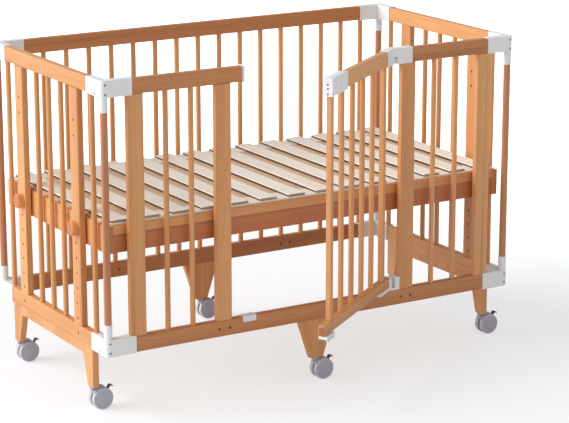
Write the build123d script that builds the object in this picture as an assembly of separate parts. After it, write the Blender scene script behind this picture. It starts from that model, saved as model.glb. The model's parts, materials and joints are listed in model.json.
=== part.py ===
from build123d import *
import os

# Crib with a hinged gate in the front, on six casters. Millimetres, +Z up, gate to -Y.
# Modelled about the middle of the frame with the floor at zero, then moved at the end.

# Overall size over the corner brackets
LENGTH = 1250.0
WIDTH = 656.0
HEIGHT = 875.0

# Fits
SEAT = 0.1
RUNNING = 0.08
PASSING = 0.4

# Rails
RAIL_T = 21.0
TOP_RAIL_H = 40.0
BOTTOM_RAIL_H = 43.0
RAIL_ROUND = 3.0
RAIL_END_INSET = 30.0

# Spindles and posts
SPINDLE_D = 14.0
SOCKET_DEPTH = 12.0
BACK_SPINDLE_PITCH = 68.4
BACK_SPINDLE_MARGIN = 70.0
END_SPINDLE_PITCH = 72.0
END_OUTER_SPINDLE_INSET = 78.0
FRONT_SPINDLE_PITCH = 72.0
POST_T = 17.0
POST_ROUND = 2.0
END_POST_W = 46.5
END_POST_INSET = 164.0
FRONT_POST_W = 44.0
FRONT_END_POST_INSET = 93.7
GATE_POST_X = 282.6

# Holes in the end posts that set the height of the base
HOLE_D = 6.6
HOLE_PITCH = 40.0
LOWEST_HOLE_UP = 21.0
BASE_STEP = 7
TOP_HOLE_BELOW = 80.0

# Corner brackets
BRACKET_WALL = 1.5
BRACKET_ARM = 85.0
BRACKET_CORNER_R = 12.0
BRACKET_EDGE_R = 2.0
ROD_D = 19.0
ROD_INSET = 11.5
SLEEVE_WALL = 1.0
TOP_SLEEVE_L = 37.0
BOTTOM_SLEEVE_L = 38.0
ROD_CAP = 8.0
RIB_COUNT = 3
RIB_PITCH = 4.0
RIB_W = 1.6
RIB_H = 1.2
RIB_MARGIN = 4.0
RIB_START = 25.0

# Screws through the brackets and bolts in the bottom rails
SCREW_D = 3.0
SCREW_HEAD_D = 5.6
SCREW_HEAD_H = 1.0
SCREW_L = 9.0
SCREW_HIGH = 11.0
SCREW_LOW = 35.5
RAIL_SCREW_INSET = 36.0
BOLT_HOLE_D = 7.0
BOLT_HOLE_DEPTH = 14.0
BOLT_RECESS = 4.0
BOLT_SPREAD = 31.0
BOLT_UP = 21.0

# Legs
LEG_H = 107.0
LEG_T = 17.0
LEG_GAP = 3.0
LEG_TOP_W = 54.0
LEG_FOOT_W = 31.0
LEG_CORNER_R = 12.0
APRON_H = 25.0
MIDDLE_LEG_TOP_W = 110.0
MIDDLE_LEG_FOOT_W = 38.0

# Casters
WHEEL_D = 57.0
WHEEL_W = 12.5
WHEEL_ROUND = 2.5
WHEEL_SKIN = 3.0
TRAIL = 20.0
WEB_T = 8.0
WHEEL_GAP = 0.5
STEM_D = 8.0
STEM_L = 26.0
AXLE_D = 6.0
COLLAR_D = 22.0
COLLAR_H = 3.2
HUB_D = 26.0
NECK_BACK = 10.0
NECK_FRONT = 13.0
HOOD_GAP = 1.0
HOOD_T = 2.0
HOOD_W = 26.0
HOOD_FRONT = 8.0
HOOD_DROP = 10.0
HOOD_TO_LEG = 2.0
LEVER_PIN_D = 3.0
LEVER_PIN_X = 13.0
LEVER_PIN_Z = 15.0
LEVER_T = 3.0
LEVER_BOSS_D = 9.0
LEVER_ARM_W = 6.0
LEVER_SLOT_R = 8.0
LUG_D = 10.0
TAB_W = 12.0
TAB_T = 3.0
TAB_POINTS = ((8.0, 8.6), (12.5, 14.0), (18.5, 11.5))

# Base
BASE_GAP = 4.2
BASE_SIDE_GAP = 11.4
END_BOARD_T = 18.0
END_BOARD_H = 70.0
BOLT_BELOW = 28.0
SIDE_BOARD_T = 18.0
STRIP_H = 22.0
STRIP_T = 22.0
STRIP_PROUD = 3.0
PANEL_T = 3.5
BATTEN_W = 60.0
BATTEN_T = 2.5
BATTEN_INSET = 6.0
BATTEN_END_GAP = 8.0
SLAT_W = 49.0
SLAT_T = 7.0
SLAT_PITCH = 86.0
SLAT_END_INSET = 8.0
SLAT_ROUND = 1.5

# Knobs, their bolts and the nuts in the base
KNOB_D = 38.0
KNOB_H = 17.0
KNOB_ROUND = 2.5
KNOB_GAP = 0.2
KNOB_BOLT_D = 6.0
KNOB_BOLT_DEPTH = 12.0
NUT_FLANGE_D = 18.0
NUT_D = 11.0
NUT_L = 13.5

# Gate
GATE_OPEN = 36.2
HINGE_TO_POST = 31.1
GATE_RAIL_START = 16.0
GATE_TOP_RAIL_END = 372.0
GATE_BOTTOM_RAIL_END = 487.0
GATE_BOTTOM_RAIL_H = 28.5
GATE_BOTTOM_GAP = 11.5
GATE_CORNER_R = 8.0
STILE_W = 17.5
STILE_T = 14.0
HINGE_STILE_S = 43.5
FREE_STILE_S = 423.0
GATE_SPINDLE_START = 132.3
GATE_SPINDLE_PITCH = 73.5
GATE_SPINDLE_COUNT = 4

# Hinges
KNUCKLE_R = 12.1
KNUCKLE_GAP = 0.4
HINGE_PIN_D = 6.0
HINGE_PIN_END = 3.0
KNUCKLE_SPLIT = 22.0
CAP_START = 14.0
CAP_END = 48.0
SLEEVE_START = 16.5
SLEEVE_END = 63.0
END_WALL = 2.0
GROOVE_W = 2.0
GROOVE_DEPTH = 0.7
GROOVE_COUNT = 4
GROOVE_PITCH = 6.0
BLOCK_H = 35.0
BLOCK_START = 17.1
BLOCK_T = 24.0
TONGUE_H = 6.0
FOOT_PLATE_START = 13.5
FOOT_PLATE_END = 79.0
FOOT_PLATE_GAP = 2.0

# Latch
HOUSING_START = 342.0
HOUSING_END = 448.5
HOUSING_T = 25.0
HOUSING_BELOW = 4.4
HOUSING_FLOOR = 9.0
HOUSING_ROOF = 5.0
HOUSING_END_WALL = 4.5
HOUSING_ROUND = 2.0
HOUSING_SEAM_W = 0.8
HOUSING_SEAM_DEPTH = 0.6
STILE_SOCKET = 4.6
LATCH_PIN_D = 5.0
LATCH_PIN_DROPS = (16.0, 26.0)
LATCH_SCREW_DROP = 40.0
LATCH_THROW = 5.0
YOKE_S = 420.0
YOKE_T = 4.0
TONGUE_REACH = 26.0
TONGUE_T = 4.0
BUTTON_S = 389.5
BUTTON_DROP = 28.0
BUTTON_D = 10.0
BUTTON_PROUD = 2.5
BUTTON_FLANGE_D = 14.0
BUTTON_FLANGE_T = 1.5
BUTTON_GAP = 0.3

# Striker on the fixed stub of the front top rail, and the catch below
STRIKER_T = 6.6
STRIKER_GAP = 1.4
STRIKER_BORE_SPARE = 2.0
CATCH_START = 431.0
CATCH_END = 484.0
CATCH_UNDER = 3.5
CATCH_BACK = 8.0
CATCH_LIP_T = 2.6
CATCH_LIP_DROP = 6.5
CATCH_ROUND = 2.0
PLATE_T = 2.0
PLATE_FROM = 419.0
PLATE_TO = 458.0
PLATE_DROP = 14.0
PLATE_DEPTH = 20.0
PLATE_ROUND = 4.0
PLATE_NOTCH_W = 6.0
PLATE_NOTCH_DEPTH = 1.2
LIP_GAP = 0.4

# Levels, from the floor up
CASTER_H = WHEEL_D + HOOD_GAP + HOOD_T + HOOD_TO_LEG
BOTTOM_RAIL_Z0 = CASTER_H + LEG_H
BOTTOM_RAIL_Z1 = BOTTOM_RAIL_Z0 + BOTTOM_RAIL_H
BRACKET_SKIN = BRACKET_WALL + SEAT
TOP_RAIL_Z1 = HEIGHT - BRACKET_SKIN
TOP_RAIL_Z0 = TOP_RAIL_Z1 - TOP_RAIL_H
SPINDLE_Z0 = BOTTOM_RAIL_Z1 - SOCKET_DEPTH
SPINDLE_Z1 = TOP_RAIL_Z0 + SOCKET_DEPTH
HOLE_Z0 = BOTTOM_RAIL_Z0 + LOWEST_HOLE_UP
BOLT_Z = HOLE_Z0 + BASE_STEP * HOLE_PITCH
BASE_TOP_Z = BOLT_Z + BOLT_BELOW
BASE_Z0 = BASE_TOP_Z - END_BOARD_H
BATTEN_Z0 = BASE_TOP_Z + PANEL_T
SLAT_Z0 = BATTEN_Z0 + BATTEN_T
TOP_STEP = int((TOP_RAIL_Z0 - TOP_HOLE_BELOW - HOLE_Z0) / HOLE_PITCH)
POST_HOLE_STEPS = [*range(1, BASE_STEP + 1), TOP_STEP - 1, TOP_STEP]

# Plan of the frame
BRACKET_T = RAIL_T + 2 * BRACKET_SKIN
RAIL_X = LENGTH / 2 - BRACKET_T / 2
RAIL_Y = WIDTH / 2 - BRACKET_T / 2
RAIL_OUT_X = RAIL_X + RAIL_T / 2
RAIL_OUT_Y = RAIL_Y + RAIL_T / 2
LONG_RAIL_END = LENGTH / 2 - RAIL_END_INSET
SHORT_RAIL_END = WIDTH / 2 - RAIL_END_INSET
END_POST_X = RAIL_OUT_X - POST_T / 2
END_POST_Y = WIDTH / 2 - END_POST_INSET
FRONT_POST_Y = RAIL_OUT_Y - POST_T / 2
FRONT_END_POST_X = LENGTH / 2 - FRONT_END_POST_INSET
OUTER_SPINDLE_Y = WIDTH / 2 - END_OUTER_SPINDLE_INSET
FRONT_PANEL_X = (FRONT_END_POST_X + GATE_POST_X) / 2
BASE_END_X = RAIL_OUT_X - POST_T - BASE_GAP
BASE_HALF_Y = RAIL_OUT_Y - POST_T - BASE_SIDE_GAP
KNOB_X = RAIL_OUT_X + KNOB_GAP

# The gate's own frame: s from the hinge axis to the free end, then outward, then up
HINGE_X = GATE_POST_X - FRONT_POST_W / 2 - HINGE_TO_POST
HINGE_Y = -RAIL_Y
GATE_PLACE = Pos(HINGE_X, HINGE_Y, 0) * Rot(0, 0, 180 + GATE_OPEN)
GATE_BOTTOM_Z0 = BOTTOM_RAIL_Z1 + GATE_BOTTOM_GAP
GATE_BOTTOM_Z1 = GATE_BOTTOM_Z0 + GATE_BOTTOM_RAIL_H
HOUSING_Z0 = TOP_RAIL_Z0 - HOUSING_BELOW
BUTTON_Z = HEIGHT - BUTTON_DROP
STRIKER_X = HINGE_X - HOUSING_END - STRIKER_GAP
STRIKER_BORE_DEPTH = LATCH_THROW - STRIKER_GAP + STRIKER_BORE_SPARE

# The wheel's axis in a caster's own frame, whose origin is on the floor under the stem
WHEEL_R = WHEEL_D / 2
LEG_OUT_Y = WIDTH / 2 - BRACKET_ARM - LEG_GAP
END_CASTER_Y = LEG_OUT_Y - LEG_FOOT_W / 2
CASTER_SPOTS = {
    "left_front": (-RAIL_X, -END_CASTER_Y),
    "left_back": (-RAIL_X, END_CASTER_Y),
    "middle_front": (0, -RAIL_Y),
    "middle_back": (0, RAIL_Y),
    "right_front": (RAIL_X, -END_CASTER_Y),
    "right_back": (RAIL_X, END_CASTER_Y),
}
KNOB_SPOTS = {
    "left_front": (-1, -END_POST_Y),
    "left_back": (-1, END_POST_Y),
    "right_front": (1, -END_POST_Y),
    "right_back": (1, END_POST_Y),
}
CORNERS = [(sx, sy) for sx in (-1, 1) for sy in (-1, 1)]


def block(x0, x1, y0, y1, z0, z1):
    """A box between two opposite corners."""
    middle = Pos((x0 + x1) / 2, (y0 + y1) / 2, (z0 + z1) / 2)
    return middle * Box(abs(x1 - x0), abs(y1 - y0), abs(z1 - z0))


def pin(start, direction, length, diameter):
    """A cylinder from a start point along a direction."""
    return extrude(Plane(origin=start, z_dir=direction) * Circle(diameter / 2), length)


def bar_x(x0, x1, y, z0, z1, thickness, radius):
    """A bar along X with rounded long edges."""
    plane = Plane(origin=(x0, y, (z0 + z1) / 2), x_dir=(0, 1, 0), z_dir=(1, 0, 0))
    return extrude(plane * RectangleRounded(thickness, z1 - z0, radius), x1 - x0)


def bar_y(y0, y1, x, z0, z1, thickness, radius):
    """A bar along Y with rounded long edges."""
    plane = Plane(origin=(x, y0, (z0 + z1) / 2), x_dir=(1, 0, 0), z_dir=(0, 1, 0))
    return extrude(plane * RectangleRounded(thickness, z1 - z0, radius), y1 - y0)


def bar_z(x, y, z0, z1, size_x, size_y, radius):
    """An upright bar with rounded long edges."""
    plane = Plane(origin=(x, y, z0))
    return extrude(plane * RectangleRounded(size_x, size_y, radius), z1 - z0)


def group(shapes):
    """Separate solids kept together as one node."""
    return Compound([solid for shape in shapes for solid in shape.solids()])


def back_spindle_xs():
    """Evenly spaced along the back, as many as fit between the corners."""
    count = int((LENGTH - 2 * BACK_SPINDLE_MARGIN) / BACK_SPINDLE_PITCH) + 1
    return [(i - (count - 1) / 2) * BACK_SPINDLE_PITCH for i in range(count)]


def spindle_spots():
    """Plan positions of the fixed spindles, by the side they stand in."""
    half = FRONT_SPINDLE_PITCH / 2
    front_xs = [side * FRONT_PANEL_X + step for side in (-1, 1) for step in (-half, half)]
    end_ys = [-OUTER_SPINDLE_Y, -END_SPINDLE_PITCH, 0, END_SPINDLE_PITCH, OUTER_SPINDLE_Y]
    return {
        "back": [(x, RAIL_Y) for x in back_spindle_xs()],
        "front": [(x, -RAIL_Y) for x in front_xs],
        "ends": [(side * RAIL_X, y) for side in (-1, 1) for y in end_ys],
    }


def spindle(x, y, grow=0.0):
    """One fixed spindle, or the space it needs."""
    start = (x, y, SPINDLE_Z0 - grow)
    return pin(start, (0, 0, 1), SPINDLE_Z1 - SPINDLE_Z0 + 2 * grow, SPINDLE_D + 2 * grow)


def end_post(x, y, grow=0.0):
    """One flat post in an end, flush with the rails' outer faces."""
    size = (POST_T + 2 * grow, END_POST_W + 2 * grow)
    return bar_z(x, y, BOTTOM_RAIL_Z1, TOP_RAIL_Z0, *size, POST_ROUND)


def front_post(x, grow=0.0):
    """One flat post in the front, flush with the rails' outer faces."""
    size = (FRONT_POST_W + 2 * grow, POST_T + 2 * grow)
    return bar_z(x, -FRONT_POST_Y, BOTTOM_RAIL_Z1, TOP_RAIL_Z0, *size, POST_ROUND)


def front_post_xs():
    return [-FRONT_END_POST_X, -GATE_POST_X, GATE_POST_X, FRONT_END_POST_X]


def upright_spaces():
    """Every fixed spindle and front post with a seating clearance, to cut away."""
    spots = [spot for side in spindle_spots().values() for spot in side]
    return [spindle(x, y, SEAT) for x, y in spots] + [front_post(x, SEAT) for x in front_post_xs()]


def bolt_xs():
    """The pairs of bolts under the gate posts, repeated in the back rail."""
    near = GATE_POST_X - BOLT_SPREAD / 2
    return [side * (near + step) for side in (-1, 1) for step in (0, BOLT_SPREAD)]


def long_bottom_rail(side, spots):
    """Front or back bottom rail with its spindle sockets and bolt holes."""
    rail = bar_x(-LONG_RAIL_END, LONG_RAIL_END, side * RAIL_Y,
                 BOTTOM_RAIL_Z0, BOTTOM_RAIL_Z1, RAIL_T, RAIL_ROUND)
    sockets = [spindle(x, y, SEAT) for x, y in spots]
    start_y = side * RAIL_Y - RAIL_T / 2
    holes = [pin((x, start_y, BOTTOM_RAIL_Z0 + BOLT_UP), (0, 1, 0), BOLT_HOLE_DEPTH, BOLT_HOLE_D)
             for x in bolt_xs()]
    return rail - sockets - holes


def end_rail(side, z0, z1, spots):
    """One short rail with its spindle sockets."""
    rail = bar_y(-SHORT_RAIL_END, SHORT_RAIL_END, side * RAIL_X, z0, z1, RAIL_T, RAIL_ROUND)
    return rail - [spindle(x, y, SEAT) for x, y in spots if x * side > 0]


def top_stub(x0, x1, spots):
    """A fixed length of the front top rail beside the gate."""
    rail = bar_x(x0, x1, -RAIL_Y, TOP_RAIL_Z0, TOP_RAIL_Z1, RAIL_T, RAIL_ROUND)
    return rail - [spindle(x, y, SEAT) for x, y in spots if x0 < x < x1]


def rails():
    """All fixed rails."""
    spots = spindle_spots()
    whole_top = bar_x(-LONG_RAIL_END, LONG_RAIL_END, RAIL_Y, TOP_RAIL_Z0, TOP_RAIL_Z1,
                      RAIL_T, RAIL_ROUND)
    ends_low = []
    for side in (-1, 1):
        low = end_rail(side, BOTTOM_RAIL_Z0, BOTTOM_RAIL_Z1, spots["ends"])
        start_x = side * RAIL_OUT_X
        for y in (-END_POST_Y, END_POST_Y):
            low -= pin((start_x, y, HOLE_Z0), (-side, 0, 0), SOCKET_DEPTH, HOLE_D)
        ends_low.append(low)
    left_stub = top_stub(-LONG_RAIL_END, STRIKER_X - STRIKER_T, spots["front"])
    right_stub = top_stub(HINGE_X + SLEEVE_START + END_WALL, LONG_RAIL_END, spots["front"])
    return {
        "back_top_rail": whole_top - [spindle(x, y, SEAT) for x, y in spots["back"]],
        "back_bottom_rail": long_bottom_rail(1, spots["back"]),
        "front_bottom_rail": long_bottom_rail(-1, spots["front"]),
        "front_top_rails": group([left_stub, right_stub]),
        "end_top_rails": group([end_rail(side, TOP_RAIL_Z0, TOP_RAIL_Z1, spots["ends"])
                                for side in (-1, 1)]),
        "end_bottom_rails": group(ends_low),
    }


def uprights():
    """Fixed spindles and posts."""
    spots = spindle_spots()
    end_posts = []
    for side in (-1, 1):
        for y in (-END_POST_Y, END_POST_Y):
            post = end_post(side * END_POST_X, y)
            start = side * (RAIL_OUT_X + PASSING)
            for step in POST_HOLE_STEPS:
                hole_z = HOLE_Z0 + step * HOLE_PITCH
                post -= pin((start, y, hole_z), (-side, 0, 0), POST_T + 2 * PASSING, HOLE_D)
            end_posts.append(post)
    return {
        "frame_spindles": group([spindle(x, y) for side in spots.values() for x, y in side]),
        "end_posts": group(end_posts),
        "front_posts": group([front_post(x) for x in front_post_xs()]),
    }


def to_corner(shape, sx, sy):
    """Mirror a shape made in the +X +Y corner into another corner."""
    if sx < 0:
        shape = mirror(shape, about=Plane.YZ)
    if sy < 0:
        shape = mirror(shape, about=Plane.XZ)
    return shape


def rod_screw_line(z):
    """Start and direction of a screw through a bracket's long face into the rod."""
    return (LENGTH / 2 - ROD_INSET, WIDTH / 2, z), (0, -1, 0)


def rail_screw_line(z):
    """Start and direction of a screw through a bracket's end face into the end rail."""
    return (LENGTH / 2, WIDTH / 2 - RAIL_SCREW_INSET, z), (-1, 0, 0)


def screw_lines(z0, z1, low):
    """The three screws of one bracket in the +X +Y corner."""
    if low:
        return [rod_screw_line(z0 + SCREW_HIGH), rod_screw_line(z0 + SCREW_LOW),
                rail_screw_line(z0 + SCREW_HIGH)]
    return [rod_screw_line(z1 - SCREW_HIGH), rod_screw_line(z1 - SCREW_LOW),
            rail_screw_line(z1 - SCREW_LOW)]


def screw(start, direction, grow=0.0):
    """A screw with its head just below the surface, or the space it needs."""
    line = Vector(*direction).normalized()
    head_start = Vector(*start) - line * grow * SCREW_HEAD_D
    head = pin(tuple(head_start + line * SEAT), direction,
               SCREW_HEAD_H + grow * (SCREW_HEAD_D + SCREW_HEAD_H), SCREW_HEAD_D + 2 * grow)
    shank = pin(tuple(Vector(*start) + line * SEAT), direction, SCREW_L + grow, SCREW_D + 2 * grow)
    return head + shank


def bracket_levels(low):
    """Bottom and top of a bracket."""
    if low:
        return BOTTOM_RAIL_Z0 - BRACKET_SKIN, BOTTOM_RAIL_Z1 + BRACKET_SKIN
    return TOP_RAIL_Z0 - BRACKET_SKIN, HEIGHT


def rod_levels():
    """Bottom and top of the corner rods, inside the brackets."""
    return bracket_levels(True)[0] + ROD_CAP, bracket_levels(False)[1] - ROD_CAP


def bracket(low):
    """A bracket in the +X +Y corner: two rail sleeves and a rod socket."""
    z0, z1 = bracket_levels(low)
    x1, y1 = LENGTH / 2, WIDTH / 2
    shell = block(x1 - BRACKET_ARM, x1, y1 - BRACKET_T, y1, z0, z1)
    shell += block(x1 - BRACKET_T, x1, y1 - BRACKET_ARM, y1, z0, z1)
    upright = shell.edges().filter_by(Axis.Z).sort_by_distance((x1, y1, (z0 + z1) / 2))[0]
    shell = fillet(upright, BRACKET_CORNER_R)
    rims = [edge for edge in shell.edges()
            if abs(edge.bounding_box().size.Z) < SEAT
            and edge.center().X > x1 - BRACKET_ARM + BRACKET_WALL
            and edge.center().Y > y1 - BRACKET_ARM + BRACKET_WALL]
    shell = fillet(rims, BRACKET_EDGE_R)
    rod_x, rod_y = x1 - ROD_INSET, y1 - ROD_INSET
    sleeve_d = ROD_D + 2 * SLEEVE_WALL
    rod_z0, rod_z1 = rod_levels()
    if low:
        shell += pin((rod_x, rod_y, z1 - BRACKET_T / 2), (0, 0, 1),
                     BOTTOM_SLEEVE_L + BRACKET_T / 2, sleeve_d)
        shell -= pin((rod_x, rod_y, rod_z0), (0, 0, 1), rod_z1, ROD_D + 2 * SEAT)
        shell += ribs(z1)
    else:
        shell += pin((rod_x, rod_y, z0 - TOP_SLEEVE_L), (0, 0, 1),
                     TOP_SLEEVE_L + BRACKET_T / 2, sleeve_d)
        shell -= pin((rod_x, rod_y, rod_z1), (0, 0, -1), rod_z1, ROD_D + 2 * SEAT)
    rail_z = (BOTTOM_RAIL_Z0, BOTTOM_RAIL_Z1) if low else (TOP_RAIL_Z0, TOP_RAIL_Z1)
    cavity = (rail_z[0] - SEAT, rail_z[1] + SEAT, RAIL_T + 2 * SEAT, RAIL_ROUND)
    shell -= bar_x(0, LONG_RAIL_END + SEAT, RAIL_Y, *cavity)
    shell -= bar_y(0, SHORT_RAIL_END + SEAT, RAIL_X, *cavity)
    return shell


def ribs(z):
    """Small ribs beside the rod sleeve on a bottom bracket."""
    x1, y1 = LENGTH / 2, WIDTH / 2
    inner, outer = BRACKET_T - RIB_MARGIN, RIB_MARGIN
    bars = Part()
    for i in range(RIB_COUNT):
        near = RIB_START + i * RIB_PITCH
        bars += block(x1 - inner, x1 - outer, y1 - near - RIB_W, y1 - near, z - RIB_H, z + RIB_H)
        bars += block(x1 - near - RIB_W, x1 - near, y1 - inner, y1 - outer, z - RIB_H, z + RIB_H)
    return bars


def corners():
    """Brackets, rods and the screws that hold them."""
    spaces = upright_spaces()
    rod_z0, rod_z1 = rod_levels()
    rod_x, rod_y = LENGTH / 2 - ROD_INSET, WIDTH / 2 - ROD_INSET
    shells = {True: [], False: []}
    rods, screws, screw_spaces = [], [], []
    for sx, sy in CORNERS:
        holes = []
        for low in (True, False):
            lines = screw_lines(*bracket_levels(low), low)
            holes += [to_corner(screw(*line, SEAT), sx, sy) for line in lines]
            screws += [to_corner(screw(*line), sx, sy) for line in lines]
        for low in (True, False):
            shells[low].append(to_corner(bracket(low), sx, sy) - spaces - holes)
        rods.append(pin((sx * rod_x, sy * rod_y, rod_z0 + SEAT), (0, 0, 1),
                        rod_z1 - rod_z0 - 2 * SEAT, ROD_D) - holes)
        screw_spaces += holes
    for side in (-1, 1):
        for x in bolt_xs():
            start = (x, side * RAIL_Y - RAIL_T / 2 + BOLT_RECESS, BOTTOM_RAIL_Z0 + BOLT_UP)
            screws.append(pin(start, (0, 1, 0), BOLT_HOLE_DEPTH - BOLT_RECESS - SEAT,
                              BOLT_HOLE_D - 2 * SEAT))
    nodes = {
        "top_corner_brackets": group(shells[False]),
        "bottom_corner_brackets": group(shells[True]),
        "corner_rods": group(rods),
        "frame_screws": group(screws),
    }
    return nodes, screw_spaces


def leg_board(outline, middle, along_x):
    """A flat board with an upright outline, standing along X or along Y."""
    plane = Plane.XZ.offset(-middle) if along_x else Plane.YZ.offset(middle)
    face = plane * make_face(Polyline(*outline, close=True))
    return face


def stem_bore(x, y):
    """The bore that a caster's stem turns in."""
    return pin((x, y, 0), (0, 0, 1), CASTER_H + STEM_L + PASSING, STEM_D + 2 * RUNNING)


def end_leg_frame(side):
    """Apron and two tapered legs cut from one board."""
    foot = CASTER_H
    apron = BOTTOM_RAIL_Z0 - APRON_H
    out, foot_in, top_in = LEG_OUT_Y, LEG_OUT_Y - LEG_FOOT_W, LEG_OUT_Y - LEG_TOP_W
    outline = [(-out, foot), (-foot_in, foot), (-top_in, apron), (top_in, apron),
               (foot_in, foot), (out, foot), (out, BOTTOM_RAIL_Z0), (-out, BOTTOM_RAIL_Z0)]
    face = leg_board(outline, side * RAIL_X, False)
    inner = face.vertices().filter_by_position(Axis.Z, apron - SEAT, apron + SEAT)
    board = extrude(fillet(inner, LEG_CORNER_R), LEG_T / 2, both=True)
    return board - [stem_bore(side * RAIL_X, y) for y in (-END_CASTER_Y, END_CASTER_Y)]


def middle_leg(side):
    """A tapered leg under the middle of a long rail."""
    top, foot = MIDDLE_LEG_TOP_W / 2, MIDDLE_LEG_FOOT_W / 2
    outline = [(-foot, CASTER_H), (foot, CASTER_H), (top, BOTTOM_RAIL_Z0), (-top, BOTTOM_RAIL_Z0)]
    board = extrude(leg_board(outline, side * RAIL_Y, True), LEG_T / 2, both=True)
    return board - stem_bore(0, side * RAIL_Y)


def legs():
    return {
        "end_leg_frames": group([end_leg_frame(side) for side in (-1, 1)]),
        "middle_legs": group([middle_leg(side) for side in (-1, 1)]),
    }


def side_profile(shape, half_width):
    """A shape drawn in the caster's side view, given a width across the wheels."""
    return extrude(Plane.XZ * shape, half_width, both=True)


def caster_housing():
    """Stem, collar, the web between the wheels and the hood over them."""
    axle = (TRAIL, WHEEL_R)
    lever_pin = (TRAIL + LEVER_PIN_X, WHEEL_R + LEVER_PIN_Z)
    collar_z1 = CASTER_H - PASSING
    collar_z0 = collar_z1 - COLLAR_H
    neck = Polygon((-NECK_BACK, collar_z0), (NECK_FRONT, collar_z0), (TRAIL + HUB_D / 2, WHEEL_R),
                   (TRAIL - HUB_D / 2, WHEEL_R), align=None)
    lug = trace(Line((0, 0), (LEVER_PIN_X, LEVER_PIN_Z)), LUG_D)
    outline = neck + Pos(*axle) * (Circle(HUB_D / 2) + lug)
    body = side_profile(outline, WEB_T / 2)
    hood = Circle(WHEEL_R + HOOD_GAP + HOOD_T) - Circle(WHEEL_R + HOOD_GAP)
    reach = WHEEL_R + HOOD_GAP + HOOD_T
    keep = Pos((HOOD_FRONT - reach) / 2, (WHEEL_R - HOOD_DROP + reach) / 2) * Rectangle(
        HOOD_FRONT + reach, reach - WHEEL_R + HOOD_DROP)
    body += side_profile(Pos(*axle) * (hood & keep), HOOD_W / 2)
    body += pin((0, 0, collar_z0), (0, 0, 1), COLLAR_H, COLLAR_D)
    body += pin((0, 0, collar_z0), (0, 0, 1), CASTER_H + STEM_L - collar_z0, STEM_D)
    body -= side_profile(Pos(*axle) * Circle(AXLE_D / 2 + RUNNING), WEB_T)
    body -= side_profile(Pos(*lever_pin) * Circle(LEVER_SLOT_R), LEVER_T / 2 + PASSING / 2)
    body += side_profile(Pos(*lever_pin) * Circle(LEVER_PIN_D / 2), (WEB_T + LEVER_T) / 4)
    return body


def caster_wheels():
    """Two wheels with closed faces on one axle."""
    inner = WEB_T / 2 + WHEEL_GAP
    axle_l = 2 * (inner + WHEEL_W - WHEEL_SKIN)
    solids = [pin((TRAIL, -axle_l / 2 + SEAT, WHEEL_R), (0, 1, 0), axle_l - 2 * SEAT, AXLE_D)]
    for side in (-1, 1):
        wheel = pin((TRAIL, side * inner, WHEEL_R), (0, side, 0), WHEEL_W, WHEEL_D)
        rims = wheel.edges().filter_by(GeomType.CIRCLE)
        wheel = fillet(rims, WHEEL_ROUND)
        wheel -= pin((TRAIL, side * inner, WHEEL_R), (0, side, 0), WHEEL_W - WHEEL_SKIN,
                     AXLE_D + 2 * SEAT)
        solids.append(wheel)
    return group(solids)


def caster_lever():
    """The brake lever: an arm on the lever pin and a curved tab for the foot."""
    middle = (TRAIL + LEVER_PIN_X, WHEEL_R + LEVER_PIN_Z)
    boss = Circle(LEVER_BOSS_D / 2)
    arm = trace(Line((0, 0), TAB_POINTS[0]), LEVER_ARM_W)
    hole = Circle(LEVER_PIN_D / 2 + RUNNING)
    lever = side_profile(Pos(*middle) * (boss + arm - hole), LEVER_T / 2)
    tab = trace(ThreePointArc(*TAB_POINTS), TAB_T)
    return lever + side_profile(Pos(*middle) * tab, TAB_W / 2)


def casters():
    """Six swivel casters, all trailing the same way."""
    nodes = {}
    for spot, (x, y) in CASTER_SPOTS.items():
        place = Pos(x, y, 0)
        nodes[f"caster_housing_{spot}"] = place * caster_housing()
        nodes[f"caster_wheels_{spot}"] = place * caster_wheels()
        nodes[f"caster_lever_{spot}"] = place * caster_lever()
    return nodes


def insert_nut(side, y, grow=0.0):
    """The flanged nut in a base end board, or the space it needs."""
    face = side * BASE_END_X
    flange = pin((face, y, BOLT_Z), (side, 0, 0), BASE_GAP - SEAT, NUT_FLANGE_D)
    barrel = pin((face + side * grow, y, BOLT_Z), (-side, 0, 0), NUT_L + 2 * grow, NUT_D + 2 * grow)
    if grow:
        return barrel
    through = pin((face + side * BASE_GAP, y, BOLT_Z), (-side, 0, 0), BASE_GAP + NUT_L,
                  KNOB_BOLT_D + 2 * RUNNING)
    return flange + barrel - through


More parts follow.
